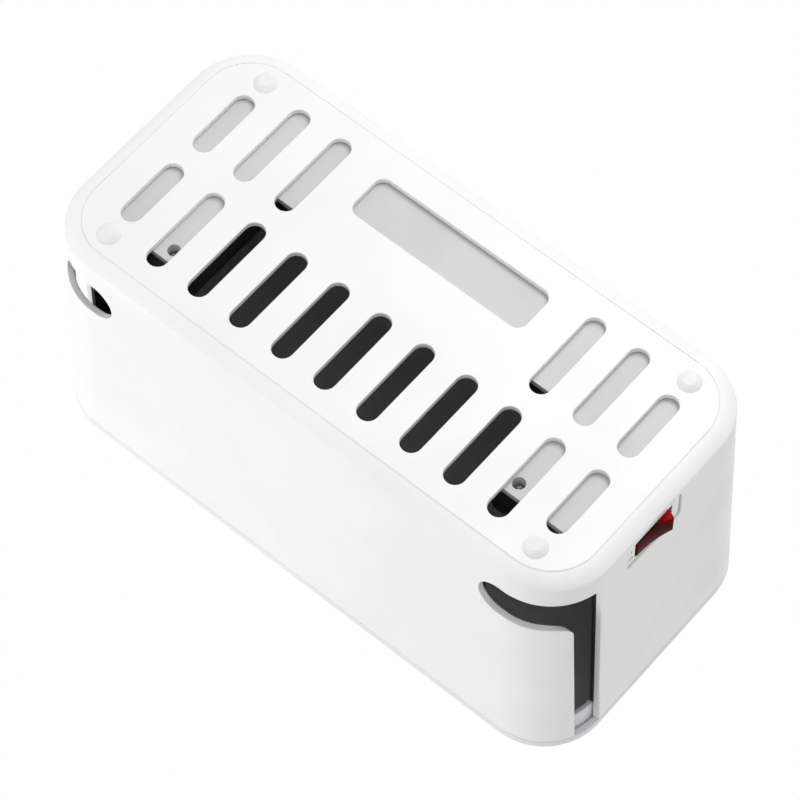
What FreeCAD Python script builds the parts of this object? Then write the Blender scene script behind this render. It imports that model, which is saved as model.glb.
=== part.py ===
# Cable management box: a tapered tub with a lift-off lid, and a power strip fixed to its floor.
# Millimetres. Z = 0 is the surface the feet stand on, +X runs along the box to the switch,
# +Y points to the long side whose corners let the cables out.
import FreeCAD, Part
import math
import os

os.makedirs("parts", exist_ok=True)

Vector = FreeCAD.Vector
toRight = Vector(1, 0, 0)
toRear = Vector(0, 1, 0)
upward = Vector(0, 0, 1)
centre = Vector(0, 0, 0)

# Cuts run past a face by this much.
overrun = 1.0

# Tub: length and depth are taken at the crease between the underside band and the walls.
base_length = 260.0
base_depth = 122.0
corner_radius = 28.0
body_height = 126.5
band_height = 4.0
band_width = 6.8
band_step = 0.4
band_sagitta = 0.78
wall_thickness = 2.8
floor_thickness = 2.8
side_slope_share = 0.0312

# Feet: low domes near the corners of the underside.
foot_height = 2.0
foot_diameter = 10.0
foot_flat_diameter = 5.0
foot_from_end = 25.0
foot_from_side = 15.5

# Floor slots: a row of full slots to the rear, three at each end to the front.
slot_count = 11
front_slot_count = 3
slot_from_end = 25.0
slot_width = 9.0
slot_end_chord_count = 10
slot_start = 4.7
slot_from_side = 15.5
end_slot_from_side = 24.2

# Window in the floor, between the front slots.
window_slot_gap = 16.0
window_from_side = 19.0
window_depth = 20.4
window_radius = 4.5

# Cable exits at both rear corners: a level slot round the corner and a gap up to the rim.
exit_height = 18.6
exit_rise = 14.6
exit_reach = 29.2
exit_gap = 11.3
exit_flap = 12.5
exit_flap_radius = 5.5
exit_corner_radius = 3.5

# Lid: a plate with a rim flush with the walls, a groove over the wall and a lip inside it.
lid_rim_height = 4.7
lid_gap = 0.3
lid_plate_thickness = 3.0
lid_edge_bevel = 1.0
lip_wall_clearance = 0.8
lip_thickness = 2.0
lip_depth = 11.5

# Sleeve that lines the walls.
liner_clearance = 0.2
liner_seat_gap = 0.3
liner_thickness = 1.6
liner_lip_gap = 1.5

# Power strip: a C in plan, with a long bar to the front and an arm at each end.
strip_floor_gap = 0.3
strip_inset = 7.4
bar_depth = 43.9
arm_width = 50.6
left_arm_from_side = 22.0
right_arm_from_side = 28.0
arm_corner_radius = 4.0
inner_corner_radius = 5.0
cover_thickness = 3.0
strip_joint_gap = 0.3
arm_height = 21.2
bar_height = 29.2
housing_wall = 1.8
housing_top = 2.4
housing_edge_bevel = 1.2

# Screws that hold the cover: heads in deep wells. Shanks, heads and their holes are many-sided.
well_side_count = 16
well_diameter = 5.3
well_depth = 6.0
well_wall = 0.8
well_floor = 1.2
shank_side_count = 8
head_side_count = 12
cover_screw_diameter = 2.5
cover_screw_head_diameter = 4.6
cover_screw_head_height = 1.8
cover_screw_length = 11.0
screw_clearance = 0.1
post_width = 6.2
left_well_from_rear = 5.4
left_well_from_end = 40.0
right_well_from_rear = 5.5
right_well_from_end = 40.1
end_well_from_end = 8.1
middle_well_from_wall = 4.2

# Lugs of the strip on bosses of the floor, midway between two columns of slots.
lug_column_share = 2.5
lug_from_bar = 4.7
lug_width = 8.4
lug_thickness = 2.6
boss_width = 7.0
boss_height = 7.2
boss_bore_depth = 6.0
mounting_screw_diameter = 3.0
mounting_screw_head_diameter = 5.8
mounting_screw_head_height = 2.0
mounting_screw_length = 8.0

# Sockets and their contacts.
socket_from_end = 34.6
socket_least_gap = 7.4
socket_width = 34.0
socket_corner_cut = 3.0
socket_recess = 1.0
socket_fit = 0.2
socket_flange_width = 0.9
socket_flange_thickness = 1.6
socket_body_depth = 9.0
socket_wall = 1.8
pin_slot_length = 7.0
pin_slot_width = 2.2
pin_spread = 7.9
pin_pole_offset = -3.6
pin_earth_offset = 8.0
pin_turn_degrees = 30.0
contact_gap = 1.4
contact_thickness = 0.8
contact_height = 8.0
contact_length = 6.4
contact_below_face = 0.6
bar_strip_width = 5.6
bar_strip_thickness = 0.8
bar_overhang = 8.0
bar_rest_width = 3.0
bar_rest_gap = 0.1

# USB supply in the left arm.
usb_pitch = 12.0
usb_from_end = 14.6
usb_from_bar = 13.7
usb_from_rear = 10.6
usb_shell_length = 13.2
usb_shell_width = 5.8
usb_shell_wall = 0.6
usb_depth = 12.9
usb_fit = 0.3
usb_tongue_thickness = 1.9
usb_tongue_margin = 1.2
usb_tongue_setback = 1.6
usb_tongue_root = 2.0
usb_board_from_end = 20.6
usb_board_margin = 6.0
usb_board_width = 30.0
usb_board_thickness = 1.6
usb_board_post_width = 4.0
usb_board_post_inset = 3.0
usb_board_post_height = 2.9
transformer_length = 13.0
transformer_width = 12.0
transformer_height = 9.0
transformer_core_width = 4.0
transformer_core_overlap = 1.2
transformer_from_edge = 1.2

# Mains switch in the right end: a rocker that tilts about a vertical axis.
switch_from_rear = 26.5
switch_rise = 14.0
bezel_length = 31.0
bezel_height = 14.4
bezel_thickness = 2.5
bezel_radius = 1.4
bezel_face_inset = 0.6
bezel_edge_bevel = 0.4
bezel_opening_gap = 0.5
bezel_seat_gap = 0.2
switch_body_length = 26.8
switch_body_height = 12.2
switch_body_depth = 19.2
switch_fit = 0.2
boss_inset = 0.1
boss_liner_gap = 0.9
rocker_recess_length = 21.8
rocker_recess_height = 10.2
rocker_recess_depth = 11.7
rocker_height = 9.6
rocker_pivot_depth = 5.2
rocker_half_span = 8.87
rocker_face_rise = 7.46
rocker_dish = 2.0
rocker_side_span = 10.2
rocker_side_rise = 2.0
rocker_root_span = 6.0
rocker_root_drop = 1.5
rocker_tilt_degrees = 10.9
rocker_edge_bevel = 0.3
pivot_diameter = 2.4
pivot_clearance = 0.08
pivot_length = 0.7
terminal_count = 3
terminal_pitch = 7.0
terminal_width = 4.8
terminal_thickness = 0.8
terminal_length = 8.0
terminal_hole_diameter = 1.6
terminal_hole_from_tip = 2.6

# Gland where the mains cord enters the left arm.
gland_from_end = 22.6
gland_rise = 13.9
gland_bore_diameter = 8.0
gland_neck_width = 12.0
gland_flange_width = 15.0
gland_flange_thickness = 1.6
gland_tail_length = 9.0
gland_tail_width = 10.0
gland_groove_count = 3
gland_groove_pitch = 2.8
gland_groove_width = 1.2
gland_fit = 0.15

# Levels and places worked out from the sizes above.
panel_z = foot_height
floor_z = panel_z + floor_thickness
crease_z = panel_z + band_height
top_z = panel_z + body_height
lid_rim_z = top_z - lid_rim_height
shell_rim_z = lid_rim_z
lid_ledge_z = shell_rim_z + lid_gap
lid_plate_z = top_z - lid_plate_thickness
lip_low_z = lid_plate_z - lip_depth
cavity_corner_z = floor_z + band_width - wall_thickness
slot_column_count = slot_count // 2
slot_pitch = (base_length - slot_from_end * 2) / (slot_count - 1)
slot_far_y = base_depth / 2 - slot_from_side
end_slot_far_y = base_depth / 2 - end_slot_from_side
front_slot_x = slot_pitch * (slot_column_count + 1 - front_slot_count)
window_half_length = front_slot_x - slot_width / 2 - window_slot_gap
window_centre_y = -(base_depth / 2 - window_from_side - window_depth / 2)
exit_low_z = panel_z + exit_rise
exit_high_z = exit_low_z + exit_height
exit_middle_z = (exit_low_z + exit_high_z) / 2
exit_x = base_length / 2 - exit_reach
exit_rear_y = base_depth / 2 - exit_flap
exit_front_y = exit_rear_y - exit_gap
liner_inset = wall_thickness + liner_clearance
liner_low_z = cavity_corner_z - liner_clearance + liner_seat_gap
liner_high_z = lip_low_z - liner_lip_gap
cover_z = floor_z + strip_floor_gap
cover_top_z = cover_z + cover_thickness
housing_low_z = cover_top_z + strip_joint_gap
arm_top_z = floor_z + arm_height
bar_top_z = floor_z + bar_height
strip_half_length = base_length / 2 - strip_inset
strip_front_y = -(base_depth / 2 - strip_inset)
strip_bar_rear_y = strip_front_y + bar_depth
left_arm_rear_y = base_depth / 2 - left_arm_from_side
right_arm_rear_y = base_depth / 2 - right_arm_from_side
strip_corner_radius = corner_radius - strip_inset
arm_inner_x = strip_half_length - arm_width
bar_middle_y = (strip_front_y + strip_bar_rear_y) / 2
well_top_z = cover_z + well_depth + well_floor
lug_x = slot_pitch * lug_column_share
socket_run = (strip_half_length - socket_from_end) * 2
socket_least_pitch = socket_width + socket_flange_width * 2 + socket_least_gap
socket_count = 1 + int(socket_run / socket_least_pitch)
socket_pitch = socket_run / (socket_count - 1)
switch_y = right_arm_rear_y - switch_from_rear
switch_z = panel_z + switch_rise
wall_face_x = base_length / 2 + side_slope_share * (switch_z - crease_z)
bezel_face_x = wall_face_x - bezel_face_inset
bezel_back_x = bezel_face_x - bezel_thickness
switch_back_x = bezel_back_x - switch_body_depth
pivot_x = bezel_face_x - rocker_pivot_depth
usb_x = usb_from_end - strip_half_length
usb_first_y = strip_bar_rear_y + usb_from_bar
usb_count = 1 + int((left_arm_rear_y - usb_from_rear - usb_first_y) / usb_pitch)
usb_board_x = usb_board_from_end - strip_half_length
usb_board_y = usb_first_y + usb_pitch * (usb_count - 1) / 2
usb_board_length = usb_pitch * (usb_count - 1) + usb_board_margin * 2
usb_board_z = cover_top_z + usb_board_post_height
usb_board_top_z = usb_board_z + usb_board_thickness
gland_x = gland_from_end - strip_half_length
gland_z = panel_z + gland_rise


def rounded_wire(corners):
    """Closed wire through (point, radius) corners that share a plane."""
    edges = []
    starts = []
    ends = []
    count = len(corners)
    for i in range(count):
        point, radius = corners[i]
        if radius == 0:
            starts.append(point)
            ends.append(point)
            continue
        before = (corners[i - 1][0] - point).normalize()
        after = (corners[(i + 1) % count][0] - point).normalize()
        half_angle = before.getAngle(after) / 2
        reach = radius / math.tan(half_angle)
        first = point + before * reach
        last = point + after * reach
        towards = (before + after).normalize()
        middle = point + towards * (radius / math.sin(half_angle) - radius)
        edges.append((i, Part.Arc(first, middle, last).toShape()))
        starts.append(first)
        ends.append(last)
    for i in range(count):
        following = (i + 1) % count
        if ends[i].distanceToPoint(starts[following]) > 0:
            edges.append((i + 1 / 2, Part.LineSegment(ends[i], starts[following]).toShape()))
    edges.sort(key=lambda item: item[0])
    return Part.Wire([edge for place, edge in edges])


def rounded_rectangle(half_x, half_y, radius, x, y, z):
    """Wire of a level rounded rectangle about (x, y)."""
    signs = [(-1, -1), (1, -1), (1, 1), (-1, 1)]
    return rounded_wire([(Vector(x + sx * half_x, y + sy * half_y, z), radius) for sx, sy in signs])


def prism(wire, direction):
    return Part.Face(wire).extrude(direction)


def tapered(inset, low, high):
    """Solid that follows the leaning walls between two heights: a drafted block with rounded corners."""
    low_x, low_y, high_x, high_y = [
        half_length - inset + side_slope_share * (z - crease_z)
        for z in (low, high) for half_length in (base_length / 2, base_depth / 2)]
    solid = Part.makeWedge(-low_x, 0, -low_y, -high_y, -high_x, low_x, high - low, low_y, high_y, high_x)
    solid.rotate(centre, toRight, 90)
    solid.translate(upward * low)
    corner_edges = [edge for edge in solid.Edges if edge.BoundBox.ZLength > (high - low) / 2]
    return solid.makeFillet(corner_radius - inset, corner_edges)


def level_prism(half_x, half_y, radius, x, y, low, high):
    return prism(rounded_rectangle(half_x, half_y, radius, x, y, low), upward * (high - low))


def block(x_low, x_high, y_low, y_high, z_low, z_high):
    size = (x_high - x_low, y_high - y_low, z_high - z_low)
    return Part.makeBox(size[0], size[1], size[2], Vector(x_low, y_low, z_low))


def pillar(diameter, x, y, low, high):
    return Part.makeCylinder(diameter / 2, high - low, Vector(x, y, low), upward)


def square_pillar(width, x, y, low, high):
    return block(x - width / 2, x + width / 2, y - width / 2, y + width / 2, low, high)


def sided_prism(diameter, sides, start, direction):
    """Prism with equal sides along a direction square to X, its corners on a circle."""
    across = toRight * (diameter / 2)
    other = direction.cross(toRight).normalize() * (diameter / 2)
    turns = [math.tau * i / sides for i in range(sides)]
    corners = [start + across * math.cos(turn) + other * math.sin(turn) for turn in turns]
    return prism(Part.makePolygon(corners + [corners[0]]), direction)


def sided_pillar(diameter, sides, x, y, low, high):
    return sided_prism(diameter, sides, Vector(x, y, low), upward * (high - low))


def cut_corner_pillar(half, cut, x, y, low, high):
    """Upright square prism with its corners cut off at 45 degrees."""
    near = half - cut
    corners = [Vector(x + dx, y + dy, low) for dx, dy in
               ((near, -half), (half, -near), (half, near), (near, half),
                (-near, half), (-half, near), (-half, -near), (-near, -half))]
    return prism(Part.makePolygon(corners + [corners[0]]), upward * (high - low))


def end_prism(half_y, half_z, radius, y, z, x_low, x_high):
    """Rounded bar that runs along X."""
    signs = [(-1, -1), (1, -1), (1, 1), (-1, 1)]
    corners = [(Vector(x_low, y + sy * half_y, z + sz * half_z), radius) for sy, sz in signs]
    return prism(rounded_wire(corners), toRight * (x_high - x_low))


def mirrored(shape):
    return shape.mirror(centre, toRight)


def save(shape, name):
    shape.exportStep("parts/" + name + ".step")
    print(name, len(shape.Solids), shape.isValid(), round(shape.Volume))


def base_band(path):
    """Domed border of the underside, swept round the walls' lower outline."""
    mid_y = -base_depth / 2
    inner = Vector(0, mid_y + band_width, panel_z + band_step)
    outer = Vector(0, mid_y, crease_z)
    chord = outer - inner
    outward = Vector(0, chord.z, -chord.y).normalize()
    if outward.z > 0:
        outward = outward * -1
    middle = (inner + outer) / 2 + outward * band_sagitta
    over = Vector(0, inner.y, crease_z)
    profile = Part.Wire([Part.Arc(inner, middle, outer).toShape(),
                         Part.LineSegment(outer, over).toShape(),
                         Part.LineSegment(over, inner).toShape()])
    return path.makePipeShell([profile], True, False)


def tub_body():
    """Outside of the tub: leaning walls, the band below them and the panel inside the band."""
    walls = tapered(0, crease_z, shell_rim_z)
    bottom = [face for face in walls.Faces if face.BoundBox.ZMax < shell_rim_z][0]
    band = base_band(bottom.OuterWire)
    band_low_z = panel_z + band_step
    inner_edges = [edge for edge in band.Edges if edge.BoundBox.ZMax < band_low_z + band_step]
    outline = Part.Wire(Part.__sortEdges__(inner_edges))
    outline.translate(upward * -band_step)
    panel = prism(outline, upward * (crease_z - panel_z))
    return walls.fuse([panel, band]).removeSplitter()


def tub_cavity():
    """Inside of the tub; its lower edge is bevelled so that the band keeps its thickness."""
    room = tapered(wall_thickness, floor_z, shell_rim_z + overrun)
    low_edges = [edge for edge in room.Edges if edge.BoundBox.ZMax < cavity_corner_z]
    return room.makeChamfer(band_width - wall_thickness, low_edges)


def slot_cutter(x, y_low, y_high):
    """Slot along Y through the floor; each round end is made of equal chords."""
    radius = slot_width / 2
    low_z = panel_z - overrun
    corners = []
    for y, start in ((y_high - radius, 0), (y_low + radius, math.pi)):
        for i in range(slot_end_chord_count + 1):
            turn = start + math.pi * i / slot_end_chord_count
            corners.append(Vector(x + radius * math.cos(turn), y + radius * math.sin(turn), low_z))
    return prism(Part.makePolygon(corners + [corners[0]]), upward * (floor_thickness + overrun * 2))


def floor_slots():
    cutters = []
    for column in range(-slot_column_count, slot_column_count + 1):
        columns_from_end = slot_column_count - abs(column)
        far_y = slot_far_y if columns_from_end else end_slot_far_y
        x = column * slot_pitch
        cutters.append(slot_cutter(x, slot_start, far_y))
        if columns_from_end < front_slot_count:
            cutters.append(slot_cutter(x, -far_y, -slot_start))
    return cutters


def floor_window():
    return level_prism(window_half_length, window_depth / 2, window_radius, 0, window_centre_y,
                       panel_z - overrun, floor_z + overrun)


def exit_cutter():
    """L-shaped way out at the right rear corner: level slot with a round end, then a gap to the rim."""
    beyond_y = base_depth
    beyond_z = top_z + overrun
    corners = [(Vector(exit_x, exit_front_y, exit_low_z), exit_corner_radius),
               (Vector(exit_x, beyond_y, exit_low_z), 0),
               (Vector(exit_x, beyond_y, exit_high_z), 0),
               (Vector(exit_x, exit_rear_y, exit_high_z), exit_flap_radius),
               (Vector(exit_x, exit_rear_y, beyond_z), 0),
               (Vector(exit_x, exit_front_y, beyond_z), 0)]
    round_corner = prism(rounded_wire(corners), toRight * (base_length / 2))
    tip = Part.makeCylinder(exit_height / 2, beyond_y - exit_rear_y,
                            Vector(exit_x, exit_rear_y, exit_middle_z), toRear)
    return round_corner.fuse(tip)


def switch_opening():
    return end_prism(bezel_length / 2 + bezel_opening_gap, bezel_height / 2 + bezel_opening_gap,
                     bezel_radius + bezel_opening_gap, switch_y, switch_z,
                     switch_back_x, wall_face_x + wall_thickness)


def lug_places():
    y = strip_bar_rear_y + lug_from_bar
    return [(-lug_x, y), (lug_x, y)]


def outer_shell():
    shell = tub_body().cut(tub_cavity())
    for x, y in lug_places():
        boss = square_pillar(boss_width, x, y, floor_z, floor_z + boss_height)
        bore = sided_pillar(mounting_screw_diameter + screw_clearance * 2, shank_side_count, x, y,
                            floor_z + boss_height - boss_bore_depth, floor_z + boss_height + overrun)
        shell = shell.fuse(boss).cut(bore)
    corner = exit_cutter()
    return shell.cut(floor_slots() + [floor_window(), corner, mirrored(corner), switch_opening()])


def foot(x, y):
    """Low dome with a small flat that stands on the surface."""
    rim = foot_diameter / 2
    flat = foot_flat_diameter / 2
    # The dome is part of a ball through the rim and the edge of the flat.
    ball_drop = (rim ** 2 - flat ** 2 - foot_height ** 2) / (2 * foot_height)
    ball_radius = math.hypot(rim, ball_drop)
    ball_centre = Vector(x, y, foot_height + ball_drop)
    half = math.atan2(rim + flat, ball_drop * 2 + foot_height)
    point = ball_centre + Vector(ball_radius * math.sin(half), 0, -ball_radius * math.cos(half))
    flat_edge = Vector(x + flat, y, 0)
    rim_edge = Vector(x + rim, y, foot_height)
    wire = Part.Wire([Part.LineSegment(Vector(x, y, 0), flat_edge).toShape(),
                      Part.Arc(flat_edge, point, rim_edge).toShape(),
                      Part.LineSegment(rim_edge, Vector(x, y, foot_height)).toShape(),
                      Part.LineSegment(Vector(x, y, foot_height), Vector(x, y, 0)).toShape()])
    return Part.Face(wire).revolve(Vector(x, y, 0), upward, 360)


def feet():
    x = base_length / 2 - foot_from_end
    y = base_depth / 2 - foot_from_side
    return Part.makeCompound([foot(sx * x, sy * y) for sx in (-1, 1) for sy in (-1, 1)])


def lid():
    plate = tapered(0, lid_ledge_z, top_z)
    top_edges = [edge for edge in plate.Edges if edge.BoundBox.ZMin > lid_plate_z]
    plate = plate.makeChamfer(lid_edge_bevel, top_edges)
    # Underneath, a groove parts the rim from the lip.
    under = tapered(wall_thickness, lid_ledge_z - overrun, lid_plate_z)
    lip_inset = wall_thickness + lip_wall_clearance
    lip = tapered(lip_inset, lip_low_z, lid_plate_z)
    hollow = tapered(lip_inset + lip_thickness, lip_low_z - overrun, lid_plate_z)
    return plate.cut(under).fuse(lip.cut(hollow)).removeSplitter()


def inner_liner():
    """Sleeve behind the walls, cut away at the exits and round the switch's boss."""
    sleeve = tapered(liner_inset, liner_low_z, liner_high_z)
    inside = tapered(liner_inset + liner_thickness, liner_low_z - overrun, liner_high_z + overrun)
    sleeve = sleeve.cut(inside)
    tip_x = exit_x - exit_height / 2
    corner = block(tip_x, base_length, exit_front_y, base_depth, exit_low_z, top_z)
    gap = boss_liner_gap
    opening = end_prism(housing_boss_half_y() + gap, housing_boss_half_z() + gap, 0,
                        switch_y, switch_z, switch_back_x, wall_face_x)
    return sleeve.cut([corner, mirrored(corner), opening])


def strip_outline(z, inset):
    """C-shaped plan of the power strip. Drawn in by an inset, it keeps only the front corners round."""
    end_x = strip_half_length - inset
    front_y = strip_front_y + inset
    rear_y = strip_bar_rear_y - inset
    inner_x = arm_inner_x + inset
    outer_radius = strip_corner_radius - inset
    arm_radius = 0 if inset else arm_corner_radius
    inner_radius = 0 if inset else inner_corner_radius
    corners = [((-end_x, front_y), outer_radius), ((end_x, front_y), outer_radius),
               ((end_x, right_arm_rear_y - inset), arm_radius),
               ((inner_x, right_arm_rear_y - inset), arm_radius),
               ((inner_x, rear_y), inner_radius), ((-inner_x, rear_y), inner_radius),
               ((-inner_x, left_arm_rear_y - inset), arm_radius),
               ((-end_x, left_arm_rear_y - inset), arm_radius)]
    return rounded_wire([(Vector(x, y, z), radius) for (x, y), radius in corners])


def socket_places():
    last = (socket_count - 1) / 2
    return [(i - last) * socket_pitch for i in range(socket_count)]


def middle_well_x():
    """The first gap between two sockets to the right of the middle."""
    places = socket_places()
    return min((left + right) / 2 for left, right in zip(places, places[1:]) if left + right > 0)


def well_places():
    rear_y = strip_bar_rear_y - middle_well_from_wall - housing_wall
    places = [(left_well_from_end - strip_half_length, left_arm_rear_y - left_well_from_rear),
              (strip_half_length - right_well_from_end, right_arm_rear_y - right_well_from_rear)]
    for side in (-1, 1):
        places.append((side * (strip_half_length - end_well_from_end), bar_middle_y))
        places.append((side * middle_well_x(), rear_y))
    return places


def bar_strip_z():
    """Underside of the contact strips, so that the contacts end just below the socket faces."""
    face_z = bar_top_z - socket_recess - socket_wall
    return face_z - contact_below_face - contact_height - bar_strip_thickness


def usb_board_posts():
    x_half = usb_board_width / 2 - usb_board_post_inset
    y_half = usb_board_length / 2 - usb_board_post_inset
    return [(usb_board_x + sx * x_half, usb_board_y + sy * y_half) for sx in (-1, 1) for sy in (-1, 1)]


def strip_cover():
    """Bottom plate of the strip, with screw wells, rests for the contact strips and board posts."""
    cover = prism(strip_outline(cover_z, 0), upward * cover_thickness)
    added = []
    bored = []
    for x, y in well_places():
        added.append(square_pillar(well_diameter + well_wall * 2, x, y, cover_z, well_top_z))
        bored.append(sided_pillar(well_diameter, well_side_count, x, y,
                                  cover_z - overrun, cover_z + well_depth))
        bored.append(sided_pillar(cover_screw_diameter + screw_clearance * 2, shank_side_count, x, y,
                                  cover_z, well_top_z + overrun))
    places = socket_places()
    rest_top = bar_strip_z() - bar_rest_gap
    for left, right in zip(places, places[1:]):
        x = (left + right) / 2
        reach = pin_spread + bar_strip_width / 2
        added.append(block(x - bar_rest_width / 2, x + bar_rest_width / 2, bar_middle_y - reach,
                           bar_middle_y + reach, cover_top_z - cover_thickness / 2, rest_top))
    for x, y in usb_board_posts():
        added.append(square_pillar(usb_board_post_width, x, y,
                                   cover_top_z - cover_thickness / 2, usb_board_z))
    return cover.fuse(added).cut(bored).removeSplitter()


def housing_boss_half_y():
    return bezel_length / 2 - boss_inset


def housing_boss_half_z():
    return bezel_height / 2 - boss_inset


def bar_outline(z, inset):
    """Plan of the higher bar that carries the sockets, with the same rule for its corners."""
    rear_y = strip_bar_rear_y - inset
    end_x = strip_half_length - inset
    front_y = strip_front_y + inset
    front_radius = strip_corner_radius - inset
    rear_radius = 0 if inset else arm_corner_radius
    corners = [(Vector(-end_x, front_y, z), front_radius), (Vector(end_x, front_y, z), front_radius),
               (Vector(end_x, rear_y, z), rear_radius), (Vector(-end_x, rear_y, z), rear_radius)]
    return rounded_wire(corners)


def top_edges_bevelled(solid, level, bevel):
    edges = [edge for edge in solid.Edges if edge.BoundBox.ZMin > level - bevel / 2]
    return solid.makeChamfer(bevel, edges)


def strip_housing():
    """Black top of the strip: a hollow C with a higher bar, open below."""
    low = prism(strip_outline(housing_low_z, 0), upward * (arm_top_z - housing_low_z))
    bar = prism(bar_outline(housing_low_z, 0), upward * (bar_top_z - housing_low_z))
    low = top_edges_bevelled(low, arm_top_z, housing_edge_bevel)
    bar = top_edges_bevelled(bar, bar_top_z, housing_edge_bevel)
    low_room = prism(strip_outline(housing_low_z - overrun, housing_wall),
                     upward * (arm_top_z - housing_top - housing_low_z + overrun))
    bar_room = prism(bar_outline(housing_low_z - overrun, housing_wall),
                     upward * (bar_top_z - housing_top - housing_low_z + overrun))
    housing = low.fuse(bar).cut([low_room, bar_room])
    added = []
    bored = []
    post_low_z = well_top_z + screw_clearance
    bore_high_z = cover_z + well_depth + cover_screw_length + screw_clearance
    for x, y in well_places():
        roof_z = arm_top_z if y > strip_bar_rear_y else bar_top_z
        added.append(square_pillar(post_width, x, y, post_low_z, roof_z - housing_top / 2))
        bored.append(sided_pillar(cover_screw_diameter + screw_clearance * 2, shank_side_count, x, y,
                                  post_low_z - overrun, bore_high_z))
    lug_z = floor_z + boss_height
    for x, y in lug_places():
        added.append(block(x - lug_width / 2, x + lug_width / 2, strip_bar_rear_y - housing_wall / 2,
                           y + lug_width / 2, lug_z, lug_z + lug_thickness))
        bored.append(sided_pillar(mounting_screw_diameter + screw_clearance * 2, shank_side_count, x, y,
                                  lug_z - overrun, lug_z + lug_thickness + overrun))
    boss = end_prism(housing_boss_half_y(), housing_boss_half_z(), 0, switch_y, switch_z,
                     strip_half_length - housing_wall / 2, bezel_back_x - bezel_seat_gap)
    added.append(boss)
    bored.append(end_prism(switch_body_length / 2 + switch_fit, switch_body_height / 2 + switch_fit, 0,
                           switch_y, switch_z, switch_back_x, bezel_face_x))
    for x in socket_places():
        bored.append(cut_corner_pillar(socket_width / 2 + socket_fit, socket_corner_cut, x, bar_middle_y,
                                       bar_top_z - housing_top - overrun, bar_top_z + overrun))
    for i in range(usb_count):
        y = usb_first_y + i * usb_pitch
        half_x = usb_shell_length / 2 + usb_fit
        half_y = usb_shell_width / 2 + usb_fit
        bored.append(block(usb_x - half_x, usb_x + half_x, y - half_y, y + half_y,
                           arm_top_z - housing_top - overrun, arm_top_z + overrun))
    bored.append(gland_block(gland_neck_width + gland_fit * 2, left_arm_rear_y - housing_wall - overrun,
                             left_arm_rear_y + overrun))
    return housing.fuse(added).cut(bored)


def pan_head_screw(x, y, seat_z, sense, diameter, length, head_diameter, head_height):
    """Screw whose head lies against seat_z; sense +1 points the shank up, -1 down."""
    tip_z = seat_z + sense * length
    face_z = seat_z - sense * head_height
    shank = sided_pillar(diameter, shank_side_count, x, y, min(seat_z, tip_z), max(seat_z, tip_z))
    head = sided_pillar(head_diameter, head_side_count, x, y, min(seat_z, face_z), max(seat_z, face_z))
    return shank.fuse(head).removeSplitter()


def cover_screws():
    seat_z = cover_z + well_depth
    return Part.makeCompound([pan_head_screw(x, y, seat_z, 1, cover_screw_diameter, cover_screw_length,
                                             cover_screw_head_diameter, cover_screw_head_height)
                              for x, y in well_places()])


def mounting_screws():
    seat_z = floor_z + boss_height + lug_thickness
    return Part.makeCompound([pan_head_screw(x, y, seat_z, -1, mounting_screw_diameter,
                                             mounting_screw_length, mounting_screw_head_diameter,
                                             mounting_screw_head_height)
                              for x, y in lug_places()])


def pin_places(x):
    """Place, turn and name of each pin slot of the socket at x."""
    return [("live", x + pin_pole_offset, bar_middle_y + pin_spread, pin_turn_degrees),
            ("neutral", x + pin_pole_offset, bar_middle_y - pin_spread, -pin_turn_degrees),
            ("earth", x + pin_earth_offset, bar_middle_y, 0)]


def turned_block(length, width, x, y, low, high, degrees):
    shape = block(-length / 2, length / 2, -width / 2, width / 2, low, high)
    shape.rotate(centre, upward, degrees)
    shape.translate(Vector(x, y, 0))
    return shape


def socket_insert(x):
    """Face of one socket: a cap with pin slots, held under the bar's top by its flange."""
    face_z = bar_top_z - socket_recess
    low_z = face_z - socket_body_depth
    roof_z = bar_top_z - housing_top
    body = cut_corner_pillar(socket_width / 2, socket_corner_cut, x, bar_middle_y, low_z, face_z)
    flange = square_pillar(socket_width + socket_flange_width * 2, x, bar_middle_y,
                           roof_z - socket_flange_thickness, roof_z)
    room = square_pillar(socket_width - socket_wall * 2, x, bar_middle_y,
                         low_z - overrun, face_z - socket_wall)
    slots = [turned_block(pin_slot_length, pin_slot_width, px, py, face_z - socket_wall - overrun,
                          face_z + overrun, turn) for name, px, py, turn in pin_places(x)]
    return body.fuse(flange).removeSplitter().cut([room] + slots)


def contact_bar(pole):
    """Brass strip under all the sockets, with a sprung pair of leaves at each."""
    places = [(px, py, turn) for x in socket_places()
              for name, px, py, turn in pin_places(x) if name == pole]
    low_z = bar_strip_z()
    top_of_strip = low_z + bar_strip_thickness
    y = places[0][1]
    strip = block(places[0][0] - bar_overhang, places[-1][0] + bar_overhang,
                  y - bar_strip_width / 2, y + bar_strip_width / 2, low_z, top_of_strip)
    clips = []
    gaps = []
    for px, py, turn in places:
        clips.append(turned_block(contact_length, contact_gap + contact_thickness * 2, px, py,
                                  low_z, top_of_strip + contact_height, turn))
        gaps.append(turned_block(contact_length + overrun * 2, contact_gap, px, py,
                                 top_of_strip, top_of_strip + contact_height + overrun, turn))
    return strip.fuse(clips).cut(gaps).removeSplitter()


def usb_board():
    return block(usb_board_x - usb_board_width / 2, usb_board_x + usb_board_width / 2,
                 usb_board_y - usb_board_length / 2, usb_board_y + usb_board_length / 2,
                 usb_board_z, usb_board_top_z)


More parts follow.
